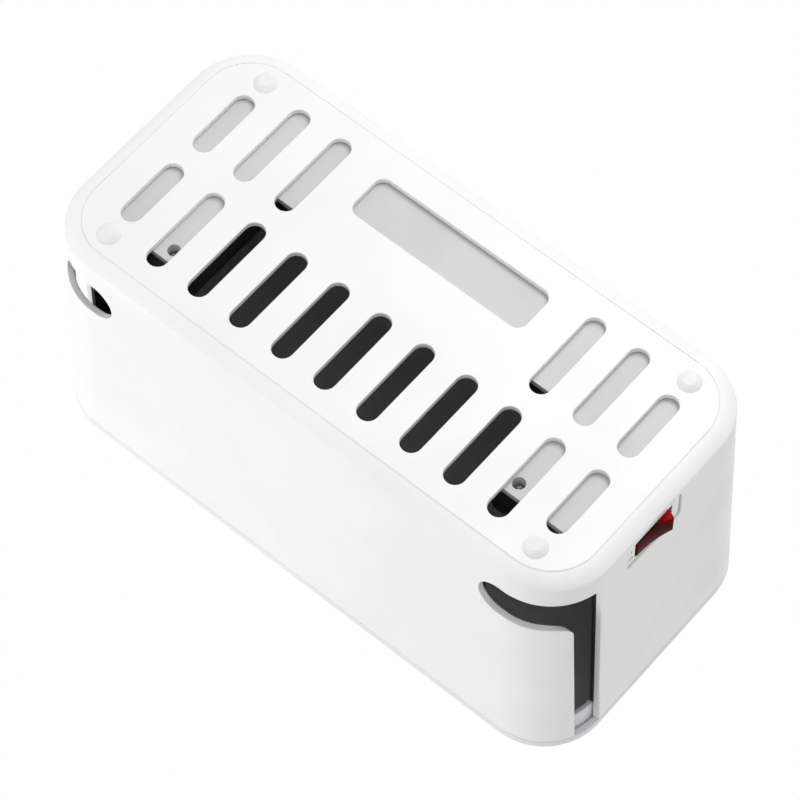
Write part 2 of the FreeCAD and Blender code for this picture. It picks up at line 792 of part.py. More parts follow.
def usb_port(index):
    """Upright receptacle: a folded shell round a tongue."""
    y = usb_first_y + index * usb_pitch
    half_x = usb_shell_length / 2
    half_y = usb_shell_width / 2
    low = usb_board_top_z
    high = low + usb_depth
    shell = block(usb_x - half_x, usb_x + half_x, y - half_y, y + half_y, low, high)
    room = block(usb_x - half_x + usb_shell_wall, usb_x + half_x - usb_shell_wall,
                 y - half_y + usb_shell_wall, y + half_y - usb_shell_wall,
                 low + usb_tongue_root, high + overrun)
    tongue_y = y + half_y - usb_shell_wall - usb_tongue_thickness
    tongue = block(usb_x - half_x + usb_tongue_margin, usb_x + half_x - usb_tongue_margin,
                   tongue_y, tongue_y + usb_tongue_thickness / 2 + usb_shell_wall / 2,
                   low + usb_tongue_root / 2, high - usb_tongue_setback)
    return shell.cut(room).fuse(tongue)


def usb_transformer():
    """Ferrite frame round a wound bobbin, on the board beside the ports."""
    x = usb_board_x + usb_board_width / 2 - transformer_from_edge - transformer_width / 2
    y = usb_board_y
    top = usb_board_top_z + transformer_height
    bobbin = block(x - transformer_width / 2, x + transformer_width / 2,
                   y - transformer_length / 2 + transformer_core_overlap,
                   y + transformer_length / 2 - transformer_core_overlap, usb_board_top_z,
                   top - transformer_core_overlap)
    core = block(x - transformer_core_width / 2, x + transformer_core_width / 2,
                 y - transformer_length / 2, y + transformer_length / 2, usb_board_top_z, top)
    return bobbin.fuse(core).removeSplitter()


def switch_frame():
    """Bezel and body of the switch, with the recess that the rocker tilts in."""
    bezel = end_prism(bezel_length / 2, bezel_height / 2, bezel_radius, switch_y, switch_z,
                      bezel_back_x, bezel_face_x)
    rim = [edge for edge in bezel.Edges if edge.BoundBox.XMin > bezel_face_x - bezel_edge_bevel]
    bezel = bezel.makeChamfer(bezel_edge_bevel, rim)
    body = end_prism(switch_body_length / 2, switch_body_height / 2, 0, switch_y, switch_z,
                     switch_back_x, bezel_back_x + bezel_thickness / 2)
    recess = block(bezel_face_x - rocker_recess_depth, bezel_face_x + overrun,
                   switch_y - rocker_recess_length / 2, switch_y + rocker_recess_length / 2,
                   switch_z - rocker_recess_height / 2, switch_z + rocker_recess_height / 2)
    bearing = pillar(pivot_diameter + pivot_clearance * 2, pivot_x, switch_y,
                     switch_z - switch_body_height, switch_z + switch_body_height)
    return bezel.fuse(body).cut([recess, bearing])


def switch_rocker():
    """Rocker with a dished face, standing tilted with its front end raised."""
    low = switch_z - rocker_height / 2
    spans = [(rocker_face_rise, -rocker_half_span), (rocker_side_rise, -rocker_side_span),
             (-rocker_root_drop, -rocker_root_span), (-rocker_root_drop, rocker_root_span),
             (rocker_side_rise, rocker_side_span), (rocker_face_rise, rocker_half_span)]
    points = [Vector(pivot_x + rise, switch_y + span, low) for rise, span in spans]
    dish = Vector(pivot_x + rocker_face_rise - rocker_dish, switch_y, low)
    edges = [Part.LineSegment(a, b).toShape() for a, b in zip(points, points[1:])]
    edges.append(Part.Arc(points[-1], dish, points[0]).toShape())
    body = prism(Part.Wire(edges), upward * rocker_height)
    flat_edges = [edge for edge in body.Edges if edge.BoundBox.ZLength < rocker_edge_bevel
                  and edge.BoundBox.XMax > pivot_x + rocker_side_rise + rocker_edge_bevel]
    body = body.makeChamfer(rocker_edge_bevel, flat_edges)
    pins = pillar(pivot_diameter, pivot_x, switch_y, low - pivot_length, low + rocker_height + pivot_length)
    rocker = body.fuse(pins)
    rocker.rotate(Vector(pivot_x, switch_y, switch_z), upward, rocker_tilt_degrees)
    return rocker


def switch_terminals():
    blades = []
    last = (terminal_count - 1) / 2
    for i in range(terminal_count):
        y = switch_y + (i - last) * terminal_pitch
        tip_x = switch_back_x - terminal_length
        blade = block(tip_x, switch_back_x, y - terminal_thickness / 2, y + terminal_thickness / 2,
                      switch_z - terminal_width / 2, switch_z + terminal_width / 2)
        hole_start = Vector(tip_x + terminal_hole_from_tip, y - terminal_thickness / 2 - overrun, switch_z)
        hole = sided_prism(terminal_hole_diameter, shank_side_count, hole_start,
                           toRear * (terminal_thickness + overrun * 2))
        blades.append(blade.cut(hole))
    return Part.makeCompound(blades)


def gland_block(width, y_low, y_high):
    """Square bar along the gland's axis."""
    half = width / 2
    return block(gland_x - half, gland_x + half, y_low, y_high, gland_z - half, gland_z + half)


def cord_gland():
    """Square bush in the arm's rear wall: two flanges round the wall and a grooved tail, bored through."""
    inner_y = left_arm_rear_y - housing_wall - gland_fit
    outer_y = left_arm_rear_y + gland_fit
    start_y = inner_y - gland_flange_thickness
    end_y = outer_y + gland_flange_thickness + gland_tail_length
    inner_flange = gland_block(gland_flange_width, start_y, inner_y)
    outer_flange = gland_block(gland_flange_width, outer_y, outer_y + gland_flange_thickness)
    body = gland_block(gland_neck_width, start_y, end_y)
    bush = body.fuse([inner_flange, outer_flange])
    for i in range(gland_groove_count):
        groove_y = end_y - gland_groove_pitch * (i + 1)
        ring = gland_block(gland_neck_width + overrun, groove_y, groove_y + gland_groove_width)
        core = gland_block(gland_tail_width, groove_y - overrun, groove_y + gland_groove_width + overrun)
        bush = bush.cut(ring.cut(core))
    bore = sided_prism(gland_bore_diameter, well_side_count, Vector(gland_x, start_y - overrun, gland_z),
                       toRear * (end_y - start_y + overrun * 2))
    return bush.cut(bore)


def main():
    save(outer_shell(), "outer_shell")
    save(feet(), "feet")
    save(lid(), "lid")
    save(inner_liner(), "inner_liner")
    save(strip_cover(), "strip_cover")
    save(strip_housing(), "strip_housing")
    save(cover_screws(), "cover_screws")
    save(mounting_screws(), "mounting_screws")
    for index, x in enumerate(socket_places()):
        save(socket_insert(x), "socket_insert_" + str(index + 1))
    for pole in ("live", "neutral", "earth"):
        save(contact_bar(pole), pole + "_bar")
    save(usb_board(), "usb_board")
    for index in range(usb_count):
        save(usb_port(index), "usb_port_" + str(index + 1))
    save(usb_transformer(), "usb_transformer")
    save(switch_frame(), "switch_frame")
    save(switch_rocker(), "switch_rocker")
    save(switch_terminals(), "switch_terminals")
    save(cord_gland(), "cord_gland")


main()
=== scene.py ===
import bpy
import bmesh
import math
from mathutils import Matrix, Vector


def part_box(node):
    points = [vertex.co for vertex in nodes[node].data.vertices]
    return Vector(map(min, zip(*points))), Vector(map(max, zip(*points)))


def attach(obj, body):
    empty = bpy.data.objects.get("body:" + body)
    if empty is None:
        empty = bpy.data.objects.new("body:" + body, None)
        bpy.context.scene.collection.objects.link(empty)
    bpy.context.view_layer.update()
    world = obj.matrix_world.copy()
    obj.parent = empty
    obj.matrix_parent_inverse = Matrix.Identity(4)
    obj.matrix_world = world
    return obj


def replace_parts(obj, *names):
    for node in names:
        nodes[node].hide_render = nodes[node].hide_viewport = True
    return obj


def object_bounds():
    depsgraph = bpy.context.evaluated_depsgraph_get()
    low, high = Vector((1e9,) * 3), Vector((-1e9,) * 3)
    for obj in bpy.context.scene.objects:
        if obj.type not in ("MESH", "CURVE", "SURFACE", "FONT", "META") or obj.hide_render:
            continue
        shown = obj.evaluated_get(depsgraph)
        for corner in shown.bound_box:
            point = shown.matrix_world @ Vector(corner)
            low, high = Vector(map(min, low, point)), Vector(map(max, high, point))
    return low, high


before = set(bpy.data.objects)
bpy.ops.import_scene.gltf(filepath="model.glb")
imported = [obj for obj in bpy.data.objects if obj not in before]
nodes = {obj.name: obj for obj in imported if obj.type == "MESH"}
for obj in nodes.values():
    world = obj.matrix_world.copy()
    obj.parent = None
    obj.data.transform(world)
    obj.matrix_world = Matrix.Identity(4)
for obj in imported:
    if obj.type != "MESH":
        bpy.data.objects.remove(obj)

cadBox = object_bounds()
mm = 0.001
scene = bpy.context.scene
print("frame loaded,", len(nodes), "nodes")


# camera at the photo's viewing angle, below the box and looking up at its underside; place and clip in metres
cameraView = {
    "place": (0.495426, 0.576174, -1.251403),
    "right": (0.76469, -0.64438, 0.00484),
    "up": (-0.55704, -0.66477, -0.49778),
    "back": (0.32398, 0.37795, -0.86729),
    "lens": 174.66,
    "sensor": 36.0,
    "clip": (0.05, 20.0),
}


def makeCamera(view):
    data = bpy.data.cameras.new("camera")
    data.lens = view["lens"]
    data.sensor_width = view["sensor"]
    data.clip_start, data.clip_end = view["clip"]
    camera = bpy.data.objects.new("camera", data)
    scene.collection.objects.link(camera)
    columns = [Vector(view[key]).normalized() for key in ("right", "up", "back")]
    turn = Matrix(columns).transposed().to_4x4()
    camera.matrix_world = Matrix.Translation(Vector(view["place"])) @ turn
    scene.camera = camera


makeCamera(cameraView)
scene.view_settings.view_transform = "Standard"
print("camera placed")


# shader helpers: an input given as a socket is linked, anything else is set

def addNode(tree, kind, inputs=None, **settings):
    made = tree.nodes.new(kind)
    for key, value in settings.items():
        setattr(made, key, value)
    for key, value in (inputs or {}).items():
        if isinstance(value, bpy.types.NodeSocket):
            tree.links.new(value, made.inputs[key])
        else:
            made.inputs[key].default_value = value
    return made


def useMath(tree, operation, first, second=0.0, clamp=False):
    inputs = {0: first, 1: second}
    return addNode(tree, "ShaderNodeMath", inputs, operation=operation, use_clamp=clamp).outputs[0]


def ramp(tree, value, low, high, toLow=0.0, toHigh=1.0):
    inputs = {"Value": value, "From Min": low, "From Max": high, "To Min": toLow, "To Max": toHigh}
    return addNode(tree, "ShaderNodeMapRange", inputs, interpolation_type="SMOOTHSTEP").outputs["Result"]


def mixColour(tree, share, first, second):
    mixer = addNode(tree, "ShaderNodeMix", data_type="RGBA")
    colourSockets = [s for s in mixer.inputs if s.type == "RGBA"]
    for socket, value in zip([mixer.inputs[0]] + colourSockets, (share, first, second)):
        if isinstance(value, bpy.types.NodeSocket):
            tree.links.new(value, socket)
        else:
            socket.default_value = value if socket.type == "VALUE" else (*value, 1.0)
    return [s for s in mixer.outputs if s.type == "RGBA"][0]


def startGroup(name, inputs, outputs):
    tree = bpy.data.node_groups.new(name, "ShaderNodeTree")
    for label, default in inputs.items():
        socket = tree.interface.new_socket(label, in_out="INPUT", socket_type="NodeSocketFloat")
        socket.default_value = default
    for label in outputs:
        tree.interface.new_socket(label, in_out="OUTPUT", socket_type="NodeSocketFloat")
    given = tree.nodes.new("NodeGroupInput").outputs
    result = tree.nodes.new("NodeGroupOutput")
    return tree, given, result


def finishGroup(tree, result, values):
    for label, socket in values.items():
        tree.links.new(socket, result.inputs[label])
    return tree


def placeGroup(tree, group, **values):
    made = addNode(tree, "ShaderNodeGroup", node_tree=group)
    for key, value in values.items():
        made.inputs[key].default_value = value
    return made.outputs


def objectSpot(tree):
    return tree.nodes.new("ShaderNodeTexCoord").outputs["Object"]


def millimetres(tree):
    scaled = addNode(tree, "ShaderNodeVectorMath", {0: objectSpot(tree)}, operation="SCALE")
    scaled.inputs["Scale"].default_value = 1 / mm
    return scaled.outputs["Vector"]


def splitAxes(tree, vector):
    return addNode(tree, "ShaderNodeSeparateXYZ", {0: vector}).outputs


def shadedNormal(tree):
    return tree.nodes.new("ShaderNodeNewGeometry").outputs["Normal"]


def noiseAt(tree, spot, scale, detail=2.0, roughness=0.5):
    inputs = {"Vector": spot, "Scale": scale, "Detail": detail, "Roughness": roughness}
    return addNode(tree, "ShaderNodeTexNoise", inputs).outputs["Fac"]


# moulded skin: fine grain of the mould, slow clouds and specks of pigment, sizes in millimetres
def makeMouldedSkin():
    inputs = {"GrainSize": 0.35, "CloudSize": 40.0, "SpeckSize": 2.5}
    tree, given, result = startGroup("mouldedSkin", inputs, ["Height", "Cloud", "Speck"])
    spot = millimetres(tree)
    fine = noiseAt(tree, spot, useMath(tree, "DIVIDE", 1.0, given["GrainSize"]), 3.0, 0.6)
    wide = noiseAt(tree, spot, useMath(tree, "DIVIDE", 0.2, given["GrainSize"]), 2.0)  # five grains across
    cloud = noiseAt(tree, spot, useMath(tree, "DIVIDE", 1.0, given["CloudSize"]), 4.0, 0.55)
    cells = addNode(tree, "ShaderNodeTexVoronoi", {"Vector": spot}, feature="F1")
    tree.links.new(useMath(tree, "DIVIDE", 1.0, given["SpeckSize"]), cells.inputs["Scale"])
    speck = ramp(tree, cells.outputs["Distance"], 0.02, 0.07, 1.0, 0.0)
    fine, wide = useMath(tree, "MULTIPLY", fine, 0.6), useMath(tree, "MULTIPLY", wide, 0.4)
    height = useMath(tree, "ADD", fine, wide)
    return finishGroup(tree, result, {"Height": height, "Cloud": ramp(tree, cloud, 0.3, 0.7), "Speck": speck})


# painted edge highlight: a mask of where an edge is near, for a paler line painted where a rounded edge
# catches the light
def makePaintedEdgeHighlight():
    tree, given, result = startGroup("paintedEdgeHighlight", {"Radius": 0.3}, ["Mask"])
    bevel = addNode(tree, "ShaderNodeBevel", samples=4)
    tree.links.new(useMath(tree, "MULTIPLY", given["Radius"], mm), bevel.inputs["Radius"])
    flat = tree.nodes.new("ShaderNodeNewGeometry").outputs["True Normal"]
    match = addNode(tree, "ShaderNodeVectorMath", {0: bevel.outputs[0], 1: flat}, operation="DOT_PRODUCT")
    mask = ramp(tree, match.outputs["Value"], 0.7, 0.995, 1.0, 0.0)  # 1 where the rounded normal turns away
    return finishGroup(tree, result, {"Mask": mask})


# settled dust: a thin uneven film on what faces up, in patches with a fine grit
def makeSettledDust():
    tree, given, result = startGroup("settledDust", {"Cover": 0.3, "PatchSize": 14.0}, ["Mask"])
    spot = millimetres(tree)
    facing = ramp(tree, splitAxes(tree, shadedNormal(tree))["Z"], 0.35, 0.95)
    patch = noiseAt(tree, spot, useMath(tree, "DIVIDE", 1.0, given["PatchSize"]), 5.0, 0.65)
    grit = noiseAt(tree, spot, 3.0, 2.0, 0.6)
    film = useMath(tree, "MULTIPLY", ramp(tree, patch, 0.35, 0.75), ramp(tree, grit, 0.3, 0.7, 0.5, 1.0))
    film = useMath(tree, "MULTIPLY", film, facing)
    mask = useMath(tree, "MULTIPLY", film, given["Cover"], clamp=True)
    return finishGroup(tree, result, {"Mask": mask})


# drawn metal: fine streaks drawn out along X, with stains
def makeDrawnMetal():
    inputs = {"Streak": 0.12, "Stretch": 30.0, "StainSize": 5.0}
    tree, given, result = startGroup("drawnMetal", inputs, ["Height", "Streak", "Stain"])
    spot = millimetres(tree)
    squeeze = addNode(tree, "ShaderNodeCombineXYZ", {"Y": 1.0, "Z": 1.0})
    tree.links.new(useMath(tree, "DIVIDE", 1.0, given["Stretch"]), squeeze.inputs["X"])
    drawn = addNode(tree, "ShaderNodeVectorMath", {0: spot, 1: squeeze.outputs[0]}, operation="MULTIPLY")
    streak = noiseAt(tree, drawn.outputs["Vector"], useMath(tree, "DIVIDE", 1.0, given["Streak"]), 3.0, 0.6)
    stain = noiseAt(tree, spot, useMath(tree, "DIVIDE", 1.0, given["StainSize"]), 5.0, 0.6)
    streaks, stains = ramp(tree, streak, 0.3, 0.7), ramp(tree, stain, 0.45, 0.75)
    return finishGroup(tree, result, {"Height": streak, "Streak": streaks, "Stain": stains})


mouldedSkin = makeMouldedSkin()
paintedEdgeHighlight = makePaintedEdgeHighlight()
settledDust = makeSettledDust()
drawnMetal = makeDrawnMetal()
print("shader groups made")


def newMaterial(name):
    material = bpy.data.materials.new(name)
    material.use_nodes = True
    tree = material.node_tree
    return material, tree, tree.nodes["Principled BSDF"]


def setShader(shader, **values):
    for key, value in values.items():
        shader.inputs[key.replace("_", " ")].default_value = value


def linkAll(tree, shader, **sockets):
    for key, socket in sockets.items():
        tree.links.new(socket, shader.inputs[key.replace("_", " ")])


def surfaceNormal(tree, height, strength, reach):
    inputs = {"Height": height, "Strength": strength, "Distance": reach * mm}
    return addNode(tree, "ShaderNodeBump", inputs).outputs["Normal"]


# every moulded plastic is one recipe with its own values: colours, edge radius and grain size in millimetres,
# lowest and highest roughness, and how much dust lies on it; the edge colour is a painted highlight along its
# edges
plastics = {
    "shellWhite": {"colour": (0.86, 0.86, 0.865), "shade": (0.83, 0.83, 0.838), "speck": (0.70, 0.70, 0.70),
                   "dust": 0.0, "edge": (0.93, 0.93, 0.935), "edgeRadius": 0.35, "rough": (0.36, 0.44),
                   "grain": 0.30, "bump": 0.10, "specular": 0.45},
    # the lid's white is greyer than the shell's: painted shade for the darker band along its rim
    "lidWhite": {"colour": (0.79, 0.79, 0.815), "shade": (0.76, 0.76, 0.785), "speck": (0.70, 0.70, 0.70),
                 "dust": 0.05, "edge": (0.92, 0.92, 0.93), "edgeRadius": 0.35, "rough": (0.36, 0.44),
                 "grain": 0.30, "bump": 0.10, "specular": 0.45},
    "footWhite": {"colour": (0.82, 0.82, 0.825), "shade": (0.79, 0.79, 0.795), "speck": (0.60, 0.60, 0.60),
                  "dust": 0.0, "edge": (0.88, 0.88, 0.88), "edgeRadius": 0.2, "rough": (0.50, 0.62),
                  "grain": 0.18, "bump": 0.16, "specular": 0.35},
    # the cover's grey is partly its own light grey and partly painted shade for the slots and window it is
    # seen through
    "coverGrey": {"colour": (0.60, 0.60, 0.60), "shade": (0.565, 0.565, 0.567), "speck": (0.50, 0.50, 0.50),
                  "dust": 0.0, "edge": (0.68, 0.68, 0.68), "edgeRadius": 0.25, "rough": (0.44, 0.54),
                  "grain": 0.22, "bump": 0.18, "specular": 0.4},
    "linerBlack": {"colour": (0.013, 0.013, 0.0135), "shade": (0.009, 0.009, 0.0095),
                   "speck": (0.03, 0.03, 0.03), "dust": 0.08, "edge": (0.030, 0.030, 0.031),
                   "edgeRadius": 0.3, "rough": (0.50, 0.64), "grain": 0.45, "bump": 0.25, "specular": 0.12},
    "housingBlack": {"colour": (0.030, 0.030, 0.031), "shade": (0.022, 0.022, 0.023),
                     "speck": (0.05, 0.05, 0.05), "dust": 0.15, "edge": (0.045, 0.045, 0.046),
                     "edgeRadius": 0.3, "rough": (0.42, 0.56), "grain": 0.40, "bump": 0.25, "specular": 0.35},
    "socketBlack": {"colour": (0.030, 0.030, 0.032), "shade": (0.018, 0.018, 0.020),
                    "speck": (0.05, 0.05, 0.05), "dust": 0.18, "edge": (0.06, 0.06, 0.062),
                    "edgeRadius": 0.2, "rough": (0.28, 0.38), "grain": 0.25, "bump": 0.12, "specular": 0.5},
    "glandBlack": {"colour": (0.026, 0.026, 0.027), "shade": (0.016, 0.016, 0.017),
                   "speck": (0.04, 0.04, 0.04), "dust": 0.30, "edge": (0.05, 0.05, 0.05),
                   "edgeRadius": 0.3, "rough": (0.55, 0.70), "grain": 0.55, "bump": 0.35, "specular": 0.3},
    "bezelWhite": {"colour": (0.84, 0.84, 0.85), "shade": (0.80, 0.80, 0.81), "speck": (0.66, 0.66, 0.66),
                   "dust": 0.0, "edge": (0.95, 0.95, 0.96), "edgeRadius": 0.25, "rough": (0.24, 0.32),
                   "grain": 0.20, "bump": 0.06, "specular": 0.5},
    "markGrey": {"colour": (0.30, 0.30, 0.31), "shade": (0.24, 0.24, 0.25), "speck": (0.42, 0.42, 0.42),
                 "dust": 0.0, "edge": (0.36, 0.36, 0.36), "edgeRadius": 0.05, "rough": (0.55, 0.65),
                 "grain": 0.15, "bump": 0.08, "specular": 0.3},
}
plasticMix = {"speckShare": 0.35, "edgeHighlightShare": 0.5, "relief": 0.05, "dustColour": (0.42, 0.40, 0.37),
              "dustRough": 0.3}


def makePlastic(name, look, mix):
    material, tree, shader = newMaterial(name)
    skin = placeGroup(tree, mouldedSkin, GrainSize=look["grain"])
    edge = placeGroup(tree, paintedEdgeHighlight, Radius=look["edgeRadius"])
    colour = mixColour(tree, skin["Cloud"], look["shade"], look["colour"])
    speck = useMath(tree, "MULTIPLY", skin["Speck"], mix["speckShare"])
    colour = mixColour(tree, speck, colour, look["speck"])
    # painted highlight: a paler colour along the edges, where a rounded edge would catch the light
    colour = mixColour(tree, useMath(tree, "MULTIPLY", edge["Mask"], mix["edgeHighlightShare"]), colour, look["edge"])
    rough = ramp(tree, skin["Cloud"], 0.0, 1.0, look["rough"][1], look["rough"][0])
    if look["dust"]:
        film = placeGroup(tree, settledDust, Cover=look["dust"])["Mask"]
        colour = mixColour(tree, film, colour, mix["dustColour"])
        rough = useMath(tree, "ADD", rough, useMath(tree, "MULTIPLY", film, mix["dustRough"]), clamp=True)
    normal = surfaceNormal(tree, skin["Height"], look["bump"], mix["relief"])
    linkAll(tree, shader, Base_Color=colour, Roughness=rough, Normal=normal)
    setShader(shader, Specular_IOR_Level=look["specular"])
    return material


# every metal is one recipe too: streak size and how far it is drawn out, lowest and highest roughness
metals = {
    "screwSteel": {"colour": (0.56, 0.56, 0.57), "stain": (0.30, 0.29, 0.28), "rough": (0.22, 0.45),
                   "streak": 0.10, "stretch": 3.0, "bump": 0.20},
    "usbSteel": {"colour": (0.64, 0.64, 0.65), "stain": (0.46, 0.45, 0.43), "rough": (0.18, 0.36),
                 "streak": 0.08, "stretch": 20.0, "bump": 0.15},
    "contactBrass": {"colour": (0.72, 0.50, 0.22), "stain": (0.38, 0.24, 0.11), "rough": (0.22, 0.48),
                     "streak": 0.12, "stretch": 40.0, "bump": 0.20},
    "terminalBrass": {"colour": (0.70, 0.66, 0.58), "stain": (0.46, 0.38, 0.26), "rough": (0.24, 0.46),
                      "streak": 0.10, "stretch": 16.0, "bump": 0.20},
    "contactGold": {"colour": (0.86, 0.62, 0.24), "stain": (0.66, 0.46, 0.18), "rough": (0.12, 0.28),
                    "streak": 0.06, "stretch": 12.0, "bump": 0.10},
}
metalMix = {"stainShare": 0.6, "edgeHighlightShare": 0.5, "edgeRadius": 0.12, "edgeHighlightGain": 1.25, "relief": 0.02}


def makeMetal(name, look, mix):
    material, tree, shader = newMaterial(name)
    drawn = placeGroup(tree, drawnMetal, Streak=look["streak"], Stretch=look["stretch"])
    edge = placeGroup(tree, paintedEdgeHighlight, Radius=mix["edgeRadius"])
    stain = useMath(tree, "MULTIPLY", drawn["Stain"], mix["stainShare"])
    colour = mixColour(tree, stain, look["colour"], look["stain"])
    # painted highlight: a paler metal colour along the edges, where a rounded edge would catch the light
    paler = tuple(min(1.0, value * mix["edgeHighlightGain"]) for value in look["colour"])
    colour = mixColour(tree, useMath(tree, "MULTIPLY", edge["Mask"], mix["edgeHighlightShare"]), colour, paler)
    rough = ramp(tree, drawn["Streak"], 0.0, 1.0, *look["rough"])
    normal = surfaceNormal(tree, drawn["Height"], look["bump"], mix["relief"])
    linkAll(tree, shader, Base_Color=colour, Roughness=rough, Normal=normal)
    setShader(shader, Metallic=1.0)
    return material


# clear red moulding, drawn dark red with painted light: a painted glow towards the raised end, a painted
# highlight band under the top and painted highlights along its edges
rockerLook = {"deep": (0.050, 0.005, 0.006), "edge": (0.50, 0.006, 0.006), "edgeRadius": 0.45,
              "edgeHighlightShare": 0.8, "rough": (0.24, 0.34), "cloudGain": 1.3, "paintedGlowReach": 0.45, "paintedRimDrop": 0.7,
              "paintedRimWidth": 1.3, "paintedRimLeast": 0.35, "bump": 0.05, "relief": 0.03, "specular": 0.005}


def makeRockerRed(look):
    material, tree, shader = newMaterial("rockerRed")
    skin = placeGroup(tree, mouldedSkin, GrainSize=0.2, CloudSize=6.0, SpeckSize=1.5)
    edge = placeGroup(tree, paintedEdgeHighlight, Radius=look["edgeRadius"])
    low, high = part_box("switch_rocker")
    spot = splitAxes(tree, objectSpot(tree))
    # painted glow: brighter red towards the raised end, on the faces that point along Z
    paintedGlowStart = low.y + (high.y - low.y) * look["paintedGlowReach"]
    towardsEnd = ramp(tree, spot["Y"], paintedGlowStart, low.y, 0.0, 1.0)
    facing = useMath(tree, "ABSOLUTE", splitAxes(tree, shadedNormal(tree))["Z"])
    paintedGlow = useMath(tree, "MULTIPLY", towardsEnd, ramp(tree, facing, 0.4, 0.9))
    # painted highlight: a band of brighter red just under the top, strongest towards the raised end
    paintedRimLow, paintedRimHigh = (high.z - drop * mm for drop in (look["paintedRimWidth"] + look["paintedRimDrop"], look["paintedRimDrop"]))
    paintedRim = ramp(tree, spot["Z"], paintedRimLow, paintedRimHigh)
    paintedRim = useMath(tree, "MULTIPLY", paintedRim, ramp(tree, towardsEnd, 0.0, 1.0, look["paintedRimLeast"], 1.0))
    paler = tuple(value * look["cloudGain"] for value in look["deep"])
    colour = mixColour(tree, skin["Cloud"], look["deep"], paler)
    for share in (paintedGlow, paintedRim, useMath(tree, "MULTIPLY", edge["Mask"], look["edgeHighlightShare"])):
        colour = mixColour(tree, share, colour, look["edge"])
    rough = ramp(tree, skin["Cloud"], 0.0, 1.0, *look["rough"])
    normal = surfaceNormal(tree, skin["Height"], look["bump"], look["relief"])
    linkAll(tree, shader, Base_Color=colour, Roughness=rough, Normal=normal)
    setShader(shader, Specular_IOR_Level=look["specular"])
    return material


# solder mask over copper tracks, with tinned pads on a grid; pitch in millimetres
boardLook = {"mask": (0.012, 0.105, 0.045), "track": (0.030, 0.190, 0.085), "pad": (0.62, 0.60, 0.56),
             "pitch": 2.54, "trackWidth": 0.06, "trackBlur": 0.1, "padEdge": (0.16, 0.20), "padScatter": 0.25,
             "cloudShare": 0.25, "padMetal": 0.8, "rough": (0.28, 0.42), "bump": 0.4, "relief": 0.05}


def makeBoardGreen(look):
    material, tree, shader = newMaterial("boardGreen")
    skin = placeGroup(tree, mouldedSkin, GrainSize=0.25, CloudSize=9.0)
    spot = millimetres(tree)
    inputs = {"Vector": spot, "Scale": 1 / look["pitch"] / 2, "Mortar Size": look["trackWidth"],
              "Mortar Smooth": look["trackBlur"]}
    tracks = addNode(tree, "ShaderNodeTexBrick", inputs, offset=0.5).outputs["Fac"]
    inputs = {"Vector": spot, "Scale": 1 / look["pitch"], "Randomness": look["padScatter"]}
    grid = addNode(tree, "ShaderNodeTexVoronoi", inputs, feature="F1")
    pads = ramp(tree, grid.outputs["Distance"], *look["padEdge"], 1.0, 0.0)
    colour = mixColour(tree, tracks, look["mask"], look["track"])
    cloud = useMath(tree, "MULTIPLY", skin["Cloud"], look["cloudShare"])
    colour = mixColour(tree, cloud, colour, look["mask"])
    colour = mixColour(tree, pads, colour, look["pad"])
    rough = ramp(tree, pads, 0.0, 1.0, *look["rough"])
    metal = useMath(tree, "MULTIPLY", pads, look["padMetal"])
    normal = surfaceNormal(tree, useMath(tree, "ADD", tracks, pads), look["bump"], look["relief"])
    linkAll(tree, shader, Base_Color=colour, Roughness=rough, Metallic=metal, Normal=normal)
    return material


# sintered core in the middle, winding wrapped in amber tape at both sides; widths in millimetres
transformerLook = {"ferrite": (0.030, 0.029, 0.030), "grain": (0.075, 0.072, 0.072), "speck": (0.2, 0.2, 0.2),
                   "tape": (0.62, 0.43, 0.05), "lap": (0.42, 0.27, 0.03), "coreHalf": 2.0, "coreBlur": 0.05,
                   "lapWidth": 3.2, "lapLine": 0.08, "rough": (0.75, 0.3), "bump": 0.4, "relief": 0.06}


def makeFerrite(look):
    material, tree, shader = newMaterial("ferriteDark")
    skin = placeGroup(tree, mouldedSkin, GrainSize=0.5, CloudSize=4.0, SpeckSize=0.8)
    low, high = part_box("usb_transformer")
    middle = (low + high) / 2 / mm
    spot = splitAxes(tree, millimetres(tree))
    fromMiddle = useMath(tree, "ABSOLUTE", useMath(tree, "SUBTRACT", spot["X"], middle.x))
    isTape = ramp(tree, fromMiddle, look["coreHalf"], look["coreHalf"] + look["coreBlur"])
    laps = useMath(tree, "FRACT", useMath(tree, "DIVIDE", spot["Z"], look["lapWidth"]))
    lapLine = ramp(tree, laps, 0.0, look["lapLine"], 1.0, 0.0)
    core = mixColour(tree, skin["Cloud"], look["ferrite"], look["grain"])
    core = mixColour(tree, skin["Speck"], core, look["speck"])
    colour = mixColour(tree, isTape, core, mixColour(tree, lapLine, look["tape"], look["lap"]))
    rough = ramp(tree, isTape, 0.0, 1.0, *look["rough"])
    normal = surfaceNormal(tree, skin["Height"], look["bump"], look["relief"])
    linkAll(tree, shader, Base_Color=colour, Roughness=rough, Normal=normal)
    return material


finishes = {name: makePlastic(name, look, plasticMix) for name, look in plastics.items()}
finishes.update({name: makeMetal(name, look, metalMix) for name, look in metals.items()})
finishes["rockerRed"] = makeRockerRed(rockerLook)
finishes["boardGreen"] = makeBoardGreen(boardLook)
finishes["ferriteDark"] = makeFerrite(transformerLook)
print("materials made:", len(finishes))

nodeFinishes = {
    "outer_shell": "shellWhite", "lid": "lidWhite", "feet": "footWhite", "inner_liner": "linerBlack",
    "strip_cover": "coverGrey", "strip_housing": "housingBlack", "cover_screws": "screwSteel",
    "mounting_screws": "screwSteel", "live_bar": "contactBrass", "neutral_bar": "contactBrass",
    "earth_bar": "contactBrass", "usb_board": "boardGreen", "usb_transformer": "ferriteDark",
    "switch_frame": "bezelWhite", "switch_rocker": "rockerRed", "switch_terminals": "terminalBrass",
    "cord_gland": "glandBlack", "socket_insert": "socketBlack", "usb_port": "usbSteel",
}


def kindOf(name):
    # numbered nodes share one entry: usb_port_2 is a usb_port
    return name.rstrip("_12345")


